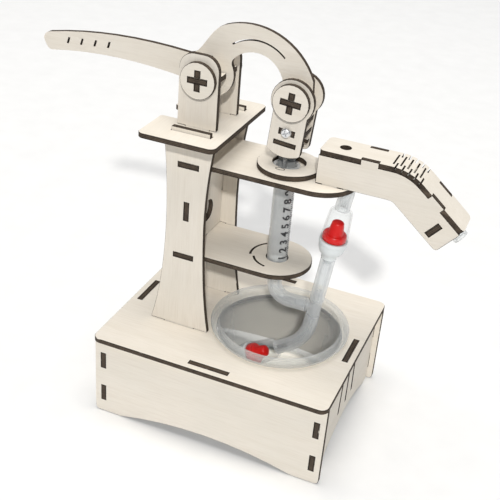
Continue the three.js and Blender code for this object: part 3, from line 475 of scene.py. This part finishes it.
def wooden_piece(node, faces, edge, soot):
    """The CAD plate with softened arrises, veneer on its two faces and char on its cut edges. Its arrises get
    the dark soot line, part char and part painted contact shade.
    """
    mesh = cad_mesh(node)
    bent = node == "spout_lid"  # its faces turn with the bend, so only its edges face sideways
    normal = UP if bent else main_direction(mesh)
    limit = 0.7 if bent else 0.95
    low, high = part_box(node)
    extent = high - low
    in_plane = [i for i in range(3) if abs(normal[i]) < 0.5]
    grain = "xyz"[max(in_plane, key=lambda i: extent[i])]
    for material in (faces[grain], edge, soot):
        mesh.materials.append(material)
    levels = [v.co.dot(normal) for v in mesh.vertices]
    lowest, highest = min(levels), max(levels)
    ply = mesh.attributes.new("ply", "FLOAT", "POINT")
    ply.data.foreach_set("value", [(v - lowest) / max(1e-9, highest - lowest) for v in levels])
    for polygon in mesh.polygons:
        polygon.material_index = 0 if abs(polygon.normal.dot(normal)) > limit else 1
    smooth(mesh, 28)
    piece = link_object(node + "_wood", mesh)
    bevel = soften(piece, ARRIS, segments=1, degrees=50)
    # Painted shade: the bevel takes the dark arris line, part char and part painted contact shade.
    bevel.material = ARRIS_MATERIAL
    finish_piece(piece, body_of[node], "plywood", node)


def make_wood():
    faces = {axis: wood_face("wood_" + axis, axis, shift) for axis, shift in GRAIN_SHIFT.items()}
    edge = burnt_edge("burnt_edge")
    # The arris line material: char and painted contact shade on the plates, and a real engraved line on the
    # ring mark.
    soot = soot_line("soot_line")
    for node, slot in slot_of.items():
        if slot == "plywood":
            wooden_piece(node, faces, edge, soot)
    make_ring_mark(soot)


# Millimetres. right and back are counted from the middle of the ring.
MARK = {"right": -1.7, "back": -10.5, "long": 2.9, "short": 1.6, "line": 0.5, "depth": 0.05, "points": 48}


def make_ring_mark(soot):
    """A plain engraved oval, a thin burnt line on top of the syringe ring."""
    centre = middle("syringe_ring")
    centre.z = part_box("syringe_ring")[1].z
    spot = centre + Vector((MARK["right"], MARK["back"], 0)) * MM
    bm = bmesh.new()
    line, depth = MARK["line"], MARK["depth"]
    rings = []
    for inset, lift in ((0, 0), (0, depth), (line, depth), (line, 0)):
        ring = []
        for a in turn_angles(MARK["points"]):
            x = (MARK["long"] - inset) * math.cos(a)
            y = (MARK["short"] - inset) * math.sin(a)
            ring.append(bm.verts.new(spot + Vector((x, y, lift)) * MM))
        rings.append(ring)
    for a, b in zip(rings, rings[1:] + rings[:1]):
        bridge(bm, a, b)
    bmesh.ops.recalc_face_normals(bm, faces=bm.faces)
    mesh = mesh_from(bm, "ring_mark")
    mesh.materials.append(soot)
    finish_piece(link_object("ring_mark", mesh), body_of["syringe_ring"], "plywood")


# ---------------------------------------------------------------- bowl
SHOULDER_GAP = 0.2  # millimetres between a shoulder and the plate that it hangs on


def make_bowl():
    """A clear tub that hangs by its rim. Its flat floor is cloudier than its walls, and painted a pale cream
    as painted light that makes it look lit.
    """
    low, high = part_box("bowl")
    centre = (low + high) / 2
    rim = (high.x - low.x) / 2 / MM
    floor, top = low.z / MM, high.z / MM
    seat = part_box("base_top")[1].z / MM + SHOULDER_GAP
    wall = 1.2
    profile = [
        (0, floor), (rim - 12.4, floor), (rim - 11.3, floor + 0.4), (rim - 10.5, floor + 1.4),
        (rim - 5.0, floor + 39.2), (rim - 4.8, floor + 40.6), (rim - 4.8, seat), (rim - 3.0, seat),
        (rim - 2.5, seat + 0.3), (rim - 0.5, seat + 3.1), (rim, seat + 3.9), (rim, top - 0.7),
        (rim - 0.2, top - 0.25), (rim - 0.7, top), (rim - 5.0, top), (rim - 5.5, top - 0.2),
        (rim - 5.7, top - 0.7), (rim - 5.75, top - 7.0), (rim - 5.95, top - 7.6), (rim - 6.0, top - 9.5),
        (rim - 7.3, floor + 29.4), (rim - 7.5, floor + 29.0), (rim - 7.7, floor + 27.5),
        (rim - 10.9, floor + 6.0), (rim - 11.5, floor + 3.0), (rim - 12.7, floor + wall + 0.3),
        (rim - 14.3, floor + wall), (rim - 19.6, floor + wall), (rim - 20.2, floor + wall + 0.5),
        (rim - 21.4, floor + wall + 0.5), (rim - 22.0, floor + wall), (0, floor + wall),
    ]
    # Painted light: the bowl floor's pale cream colour and extra share, which make it look lit.
    painted_floor_light = {"top": low.z + 2.0 * MM, "fade": 1.5 * MM, "share": 0.80, "color": (0.98, 0.95, 0.88)}
    plastic = clear_plastic(
        "clear_bowl", (0.95, 0.95, 0.94), (0.80, 0.82, 0.82), 0.17, 0.90, 0.08, floor=painted_floor_light)
    place = Matrix.Translation((centre.x, centre.y, 0))
    bowl = lathe("bowl_clear", profile, plastic, 128, place)
    finish_piece(bowl, body_of["bowl"], "clear_bowl", "bowl")


# ---------------------------------------------------------------- syringe
# Millimetres. SCALE's angle is in degrees round the barrel. A tick is (half its angle in radians, half
# its height), and a number's turn from the ticks is in radians.
NOZZLE_LENGTH = 10
BARREL = {"outer": 6.2, "inner": 5.65, "flange": 7.8}
SCALE = {"angle": -19, "first": 6, "step": 1.35, "count": 37, "every": 4,
         "long": (0.26, 0.34), "short": (0.15, 0.24), "raised": 0.06}
DIGIT = {"size": 6.4, "bold": 0.2, "turn": -0.38, "slice": 0.35, "slices": 8, "gap": 0.01, "raised": 0.07}


def make_syringe(plastic, print_ink):
    centre = middle("syringe_barrel")
    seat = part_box("upper_shelf")[1].z / MM + SHOULDER_GAP
    nozzle_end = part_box("syringe_barrel")[0].z / MM
    bottom = nozzle_end + NOZZLE_LENGTH
    outer, inner, flange = BARREL["outer"], BARREL["inner"], BARREL["flange"]
    profile = [
        (1.1, nozzle_end), (1.8, nozzle_end), (1.95, nozzle_end + 0.4), (2.3, bottom - 0.3),
        (2.6, bottom), (5.3, bottom), (5.8, bottom + 0.25), (outer, bottom + 0.9),
        (outer, seat - 1.6), (outer + 0.12, seat - 0.6), (outer + 0.3, seat), (flange - 0.3, seat),
        (flange, seat + 0.25), (flange, seat + 1.55), (flange - 0.3, seat + 1.8), (inner + 0.55, seat + 1.8),
        (inner + 0.1, seat + 1.3), (inner, seat + 0.8), (inner, bottom + 2.6), (inner - 0.5, bottom + 1.9),
        (1.4, bottom + 1.3), (1.1, bottom + 1.0),
    ]
    place = Matrix.Translation((centre.x, centre.y, 0))
    barrel = lathe("syringe_barrel_clear", profile, plastic, 72, place, closed=True)
    finish_piece(barrel, body_of["syringe_barrel"], "syringe_plastic", "syringe_barrel")
    make_scale(centre, bottom, print_ink)


def curved_patch(bm, centre, angle, half_width, z0, z1):
    """A thin raised patch on the barrel's wall. angle and half_width are in radians."""
    steps = max(2, round(half_width / 0.05))
    radius = BARREL["outer"] * MM
    rows = []
    for level in (radius, radius + SCALE["raised"] * MM):
        for z in (z0, z1):
            row = []
            for i in range(steps + 1):
                a = angle - half_width + 2 * half_width * i / steps
                row.append(bm.verts.new((centre.x + level * math.cos(a), centre.y + level * math.sin(a), z)))
            rows.append(row)
    inner_low, inner_high, outer_low, outer_high = rows
    long_sides = ((outer_low, outer_high), (inner_high, inner_low),
                  (inner_low, outer_low), (outer_high, inner_high))
    for a, b in long_sides:
        for i in range(steps):
            bm.faces.new((a[i], a[i + 1], b[i + 1], b[i]))
    for i in (0, -1):
        bm.faces.new((inner_low[i], inner_high[i], outer_high[i], outer_low[i]))


def make_scale(centre, bottom, print_ink):
    """The barrel's printed scale: long and short ticks, with numbers that read along the barrel."""
    bm = bmesh.new()
    angle = math.radians(SCALE["angle"])
    places = [bottom + SCALE["first"] + i * SCALE["step"] for i in range(SCALE["count"])]
    for i, z in enumerate(places):
        half, thick = SCALE["long" if i % SCALE["every"] == 0 else "short"]
        curved_patch(bm, centre, angle + half, half, (z - thick) * MM, (z + thick) * MM)
    bmesh.ops.recalc_face_normals(bm, faces=bm.faces)
    mesh = mesh_from(bm, "syringe_scale")
    mesh.materials.append(print_ink)
    finish_piece(link_object("syringe_scale", mesh), body_of["syringe_barrel"], "syringe_plastic")
    for number, z in enumerate(places[::SCALE["every"]], start=1):
        wrapped_number(str(number), centre, angle + DIGIT["turn"], z, print_ink)


def wrapped_number(text, centre, angle, height, print_ink):
    """A number that reads along the barrel, laid on its round wall as a thin layer of ink."""
    curve = bpy.data.curves.new("scale_number", "FONT")
    curve.body = text
    curve.size = DIGIT["size"]
    curve.offset = DIGIT["bold"]
    curve.align_x = "CENTER"
    curve.align_y = "CENTER"
    flat = bpy.data.objects.new("scale_number", curve)
    bpy.context.scene.collection.objects.link(flat)
    bpy.context.view_layer.update()
    mesh = bpy.data.meshes.new_from_object(flat.evaluated_get(bpy.context.evaluated_depsgraph_get()))
    bpy.data.objects.remove(flat)
    bm = bmesh.new()
    bm.from_mesh(mesh)
    for i in range(-DIGIT["slices"], DIGIT["slices"] + 1):
        geometry = [*bm.verts, *bm.edges, *bm.faces]
        bmesh.ops.bisect_plane(bm, geom=geometry, plane_co=(0, i * DIGIT["slice"], 0), plane_no=BACK)
    bmesh.ops.remove_doubles(bm, verts=bm.verts, dist=1e-4)
    raised = bmesh.ops.extrude_face_region(bm, geom=list(bm.faces), use_keep_orig=True)["geom"]
    for vert in raised:
        if isinstance(vert, bmesh.types.BMVert):
            vert.co.z += DIGIT["raised"]
    radius = BARREL["outer"]
    for vert in bm.verts:
        along, around, lift = vert.co
        reach = (radius + DIGIT["gap"] + lift) * MM
        a = angle - around / radius
        vert.co = (centre.x + reach * math.cos(a), centre.y + reach * math.sin(a), (height + along) * MM)
    bmesh.ops.recalc_face_normals(bm, faces=bm.faces)
    bm.to_mesh(mesh)
    bm.free()
    mesh.materials.clear()
    mesh.materials.append(print_ink)
    finish_piece(link_object("scale_number_" + text, mesh), body_of["syringe_barrel"], "syringe_plastic")


def copied_piece(node, material, suffix, bevel):
    """The CAD solid with softened edges and its own material. bevel is in metres."""
    mesh = cad_mesh(node)
    mesh.materials.append(material)
    for polygon in mesh.polygons:
        polygon.material_index = 0
    smooth(mesh, 30)
    piece = link_object(f"{node}_{suffix}", mesh)
    soften(piece, bevel, segments=2, degrees=40)
    finish_piece(piece, body_of[node], slot_of[node], node)


# ---------------------------------------------------------------- screws and nuts
def cross_outline(reach, half, spin):
    """Twelve corners of a cross, anticlockwise, in the XY plane."""
    quarter = [(reach, -half), (reach, half), (half, half)]
    corners = []
    for i in range(4):
        turn = Matrix.Rotation(i * math.pi / 2 + spin, 2)
        corners += [turn @ Vector(corner) for corner in quarter]
    return corners


# Millimetres. The cross is cut into the head, and cross_turn is in radians.
SCREW = {"head": 1.9, "core": 1.18, "thread": 1.4, "pitch": 0.5, "sides": 40,
         "recess": 0.9, "mouth": (1.7, 0.34), "pit": (1.3, 0.30), "cross_turn": 0.35}


def screw_profile(length):
    """(radius, height) from the tip, up the thread and round the head."""
    shoulder = length - SCREW["head"]
    profile = [(0.9, 0.0), (1.3, 0.6)]
    height = 1.0
    while height < shoulder - 0.6:
        profile += [(SCREW["core"], height), (SCREW["thread"], height + SCREW["pitch"] / 2)]
        height += SCREW["pitch"]
    profile += [(SCREW["thread"], shoulder), (3.0, shoulder), (3.05, length - 1.5),
                (2.9, length - 0.9), (2.6, length - 0.35), (2.15, length)]
    return profile


def make_screw(node, metal):
    """A pan-head screw with a cross recess, along Y. It is drawn along +Z, with the head on top."""
    low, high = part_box(node)
    centre = (low + high) / 2
    front = centre.y < 0
    length = (high.y - low.y) / MM
    sides = SCREW["sides"]
    bm = bmesh.new()
    rings = []
    for radius, z in screw_profile(length):
        around = turn_angles(sides)
        rings.append([bm.verts.new((radius * math.cos(a), radius * math.sin(a), z)) for a in around])
    for a, b in zip(rings, rings[1:]):
        bridge(bm, a, b)
    bm.faces.new(rings[0][::-1])
    turn = SCREW["cross_turn"]
    mouth = [bm.verts.new((x, y, length)) for x, y in cross_outline(*SCREW["mouth"], turn)]
    pit = [bm.verts.new((x, y, length - SCREW["recess"])) for x, y in cross_outline(*SCREW["pit"], turn)]
    corners = len(mouth)
    rim = [bm.edges.get((rings[-1][i], rings[-1][(i + 1) % sides])) for i in range(sides)]
    rim += [bm.edges.new((mouth[i], mouth[(i + 1) % corners])) for i in range(corners)]
    bmesh.ops.triangle_fill(bm, edges=rim, use_beauty=True)
    bridge(bm, mouth, pit)
    floor = [bm.edges.get((pit[i], pit[(i + 1) % corners])) for i in range(corners)]
    bmesh.ops.triangle_fill(bm, edges=floor)
    bmesh.ops.scale(bm, vec=(MM, MM, MM), verts=bm.verts)
    bmesh.ops.recalc_face_normals(bm, faces=bm.faces)
    mesh = mesh_from(bm, node + "_metal")
    mesh.materials.append(metal)
    smooth(mesh, 30)
    screw = link_object(node + "_metal", mesh)
    tilt = Matrix.Rotation(math.radians(90 if front else -90), 4, "X")
    start = Vector((centre.x, high.y if front else low.y, centre.z))
    screw.matrix_world = Matrix.Translation(start) @ tilt
    finish_piece(screw, body_of[node], "steel", node)


# ---------------------------------------------------------------- hoses and valves
# Millimetres, with x counted from the middle of the base box, as in the CAD source.
BASE_X = middle("base_top").x / MM
SYRINGE_X = middle("syringe_barrel").x / MM - BASE_X
TEE_X, TEE_Z = 43.4, 82.0
LEAN = math.radians(7)
TEE_AXIS = Vector((math.sin(LEAN), 0, math.cos(LEAN)))
HOSE_OUTER, HOSE_BORE = 4.4, 2.9
HOSE_START = 5.5
VALVE_START = 36
VALVE_LENGTH = 33
INTAKE_SLOPE = math.radians(35)
INTAKE_BEND = 28.5
SHELF_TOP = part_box("upper_shelf")[1].z / MM
SPOUT_ELBOW_X, SPOUT_SLOPE = 81.3, math.radians(40)
OUTLET_RISE_X, OUTLET_HEIGHT = 53.6, 12.2
END_GAP = 0.4


def arc(x, z, radius, start, end, count):
    """Points (x, z) of an arc, with its angles in degrees."""
    angles = [math.radians(start + (end - start) * i / (count - 1)) for i in range(count)]
    return [(x + radius * math.cos(a), z + radius * math.sin(a)) for a in angles]


def on_tee_axis(distance):
    return TEE_X + TEE_AXIS.x * distance, TEE_Z + TEE_AXIS.z * distance


def on_spout(along, across):
    """A point of the sloping half of the spout, along it and above its lower edge."""
    return (SPOUT_ELBOW_X + along * math.cos(SPOUT_SLOPE) + across * math.sin(SPOUT_SLOPE),
            SHELF_TOP - along * math.sin(SPOUT_SLOPE) + across * math.cos(SPOUT_SLOPE))


def nozzle_route():
    """Down from the syringe's nozzle and round to the side of the tee."""
    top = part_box("syringe_barrel")[0].z / MM + NOZZLE_LENGTH - 0.6
    level = TEE_Z - 0.5
    return [(SYRINGE_X, top), (SYRINGE_X, 98), *arc(SYRINGE_X + 10, level + 10, 10, 180, 270, 7),
            (32, level), (TEE_X - HOSE_START, TEE_Z - END_GAP)]


def intake_route():
    """Down from the tee, round a bend and straight to the intake valve."""
    turn_x, turn_z = on_tee_axis(-13)
    centre = turn_x - INTAKE_BEND * math.cos(LEAN), turn_z + INTAKE_BEND * math.sin(LEAN)
    curve = arc(*centre, INTAKE_BEND, -math.degrees(LEAN), math.degrees(INTAKE_SLOPE) - 90, 8)
    last_x, last_z = curve[-1]
    straight = [(last_x - d * math.cos(INTAKE_SLOPE), last_z - d * math.sin(INTAKE_SLOPE)) for d in (3, 6, 9)]
    return [on_tee_axis(-HOSE_START), on_tee_axis(-9), *curve, *straight]


def outlet_route():
    """Up from the outlet valve, through the shelf's hole and along the inside of the spout."""
    rise, level = OUTLET_RISE_X, SHELF_TOP + OUTLET_HEIGHT
    return [on_tee_axis(VALVE_START + VALVE_LENGTH + END_GAP), on_tee_axis(72), (rise - 0.4, 160),
            (rise, 164.5), *arc(rise + 13, level - 13, 13, 180, 90, 7), *arc(78, level - 22, 22, 90, 50, 5),
            *[on_spout(along, OUTLET_HEIGHT) for along in (14, 26, 40)]]


def hose_routes():
    """The centre lines of the four hoses, which repeat the CAD's routes."""
    riser = [on_tee_axis(HOSE_START), on_tee_axis(20), on_tee_axis(VALVE_START - 0.3)]
    return {"nozzle_hose": nozzle_route(), "riser_hose": riser,
            "intake_hose": intake_route(), "outlet_hose": outlet_route()}


def make_hoses(plastic):
    for node, points in hose_routes().items():
        route = [Vector((BASE_X + x, 0, z)) * MM for x, z in points]
        piece = hose_piece(node + "_tube", route, plastic, HOSE_OUTER * MM, HOSE_BORE * MM)
        finish_piece(piece, body_of[node], "hose", node)


def valve_place(prefix):
    """Local +Z along the valve, from its base to its shoulder."""
    if prefix == "outlet":
        x, z = on_tee_axis(VALVE_START)
        lean = LEAN
    else:
        end_x, end_z = intake_route()[-1]
        length = VALVE_LENGTH + END_GAP
        x, z = end_x - length * math.cos(INTAKE_SLOPE), end_z - length * math.sin(INTAKE_SLOPE)
        lean = math.pi / 2 - INTAKE_SLOPE
    return Matrix.Translation(Vector((BASE_X + x, 0, z)) * MM) @ Matrix.Rotation(lean, 4, "Y")


def make_valve(prefix, white, red, clear):
    """A check valve: a white base with grip ribs, a red core and a clear shell with a barb."""
    place = valve_place(prefix)
    base = [
        (1.4, -3.5), (2.0, -3.5), (2.5, -2.6), (2.2, -2.2), (2.2, -0.6), (2.5, -0.2), (4.2, 0.0),
        (4.6, 0.3), (4.8, 2.4), (5.2, 3.0), (6.6, 4.6), (7.5, 6.6), (7.9, 8.0), (8.0, 10.4),
        (8.3, 10.7), (8.4, 11.0), (8.4, 12.9), (8.3, 13.1), (7.4, 13.1), (7.4, 12.6), (1.4, 12.6),
    ]
    piece = lathe(f"{prefix}_valve_base_moulded", base, white, 64, place, closed=True)
    add_ribs(piece, count=18, inner=8.0, outer=8.38, low=11.2, high=12.8)
    finish_piece(piece, "frame", "white_plastic", f"{prefix}_valve_base")
    core = [
        (0, 13.2), (7.0, 13.2), (7.2, 13.5), (7.2, 15.4), (7.0, 16.6), (6.6, 17.1), (4.9, 17.3),
        (4.6, 17.8), (3.6, 24.0), (3.4, 24.5), (2.9, 24.9), (2.0, 25.2), (0, 25.2),
    ]
    piece = lathe(f"{prefix}_valve_core_red", core, red, 48, place)
    finish_piece(piece, "frame", "red_plastic", f"{prefix}_valve_core")
    shell = [
        (7.5, 13.3), (8.1, 13.3), (8.15, 14.6), (8.0, 14.9), (7.95, 16.0), (6.8, 31.0), (6.5, 32.0),
        (5.9, 32.6), (3.6, 32.9), (3.2, 33.2), (2.5, 33.4), (2.5, 35.5), (2.25, 36.0), (2.5, 38.0),
        (2.25, 38.5), (2.5, 40.2), (2.1, 41.5), (1.4, 41.5), (1.4, 32.6), (5.6, 31.6), (6.2, 30.8),
        (7.3, 16.0),
    ]
    piece = lathe(f"{prefix}_valve_shell_clear", shell, clear, 64, place, closed=True)
    finish_piece(piece, "frame", "valve_shell_plastic", f"{prefix}_valve_shell")


def add_ribs(piece, count, inner, outer, low, high):
    """Grip ribs round a turned piece, joined into its mesh."""
    bm = bmesh.new()
    bm.from_mesh(piece.data)
    width = math.pi * inner / count * 0.45
    for i in range(count):
        spin = Matrix.Rotation(2 * math.pi * i / count, 4, "Z")
        middle_radius = (inner + outer) / 2
        place = Matrix.Translation((middle_radius * MM, 0, (low + high) / 2 * MM))
        size = Matrix.Diagonal(((outer - inner) * MM, width * MM, (high - low) * MM, 1))
        bmesh.ops.create_cube(bm, size=1, matrix=spin @ place @ size)
    bm.to_mesh(piece.data)
    bm.free()


# ---------------------------------------------------------------- stage and light
FLOOR_GAP = 0.2 * MM


def make_stage():
    """A plain pale floor just under the object's feet."""
    bm = bmesh.new()
    bmesh.ops.create_grid(bm, x_segments=1, y_segments=1, size=6)
    floor = link_object("floor", mesh_from(bm, "floor"))
    floor.location.z = cad_box[0][2] - FLOOR_GAP
    m = Nodes("floor_paper")
    fibre = m.noise(m.coords(), 40, detail=3)
    m.set(Base_Color=m.ramp(fibre, (0.3, (0.85, 0.85, 0.85)), (0.7, (0.88, 0.88, 0.88))), Roughness=0.9)
    m.set(Specular_IOR_Level=0.1)
    floor.data.materials.append(m.material)


KEY_ALONG = Vector((-0.40, 1.0, -0.8))
WARM = (1, 0.97, 0.92)
COOL = (0.86, 1.0, 1.22, 1)


def make_lights():
    """A key from the front right, a broad warm light overhead and a weak cool room."""
    scene = bpy.context.scene
    world = bpy.data.worlds.new("studio")
    world.use_nodes = True
    background = world.node_tree.nodes["Background"]
    background.inputs["Color"].default_value = COOL
    background.inputs["Strength"].default_value = 0.14
    scene.world = world
    sun = bpy.data.lights.new("key", "SUN")
    sun.energy = 1.85
    sun.angle = math.radians(3)
    sun.color = (1, 0.985, 0.95)
    key = bpy.data.objects.new("key", sun)
    key.rotation_euler = KEY_ALONG.to_track_quat("-Z", "Y").to_euler()
    lamp = bpy.data.lights.new("overhead", "AREA")
    lamp.shape = "DISK"
    lamp.size = 2.4
    lamp.energy = 74
    lamp.color = WARM
    overhead = bpy.data.objects.new("overhead", lamp)
    overhead.location = (0, 0, 3)
    for light in (key, overhead):
        scene.collection.objects.link(light)
    scene.view_settings.view_transform = "Standard"


# ---------------------------------------------------------------- everything
make_camera()
make_wood()
make_bowl()
syringe_plastic = clear_plastic(
    "syringe_plastic", (0.93, 0.94, 0.94), (0.82, 0.83, 0.83), 0.22, 0.90, 0.15, milk=0.10, edge=1.3)
plunger_plastic = clear_plastic(
    "plunger_plastic", (0.80, 0.81, 0.81), (0.50, 0.51, 0.51), 0.45, 0.95, 0.3, milk=0.1)
hose_plastic = clear_plastic(
    "hose_plastic", (0.95, 0.96, 0.96), (0.84, 0.85, 0.86), 0.14, 0.92, 0.10, milk=0.08, edge=1.2)
tee_plastic = clear_plastic(
    "tee_plastic", (0.92, 0.93, 0.93), (0.80, 0.81, 0.82), 0.25, 0.9, 0.12, milk=0.1)
shell_plastic = clear_plastic(
    "shell_plastic", (0.97, 0.975, 0.975), (0.78, 0.80, 0.81), 0.0, 0.60, 0.06, edge=2.6)
white_plastic = moulded("white_plastic", (0.80, 0.84, 0.85), 0.32)
red_plastic = moulded("red_plastic", (0.86, 0.012, 0.010), 0.30)
metal = zinc("zinc")
make_syringe(syringe_plastic, ink("print_ink"))
copied_piece("plunger_rod", plunger_plastic, "moulded", 0.15 * MM)
copied_piece("plunger_piston", plunger_plastic, "moulded", 0.1 * MM)
copied_piece("tee", tee_plastic, "moulded", 0.15 * MM)
for end in ("front", "rear"):
    make_screw("screw_" + end, metal)
    copied_piece("nut_" + end, metal, "metal", 0.2 * MM)
make_hoses(hose_plastic)
for prefix in ("outlet", "intake"):
    make_valve(prefix, white_plastic, red_plastic, shell_plastic)
make_stage()
make_lights()

bpy.context.view_layer.update()
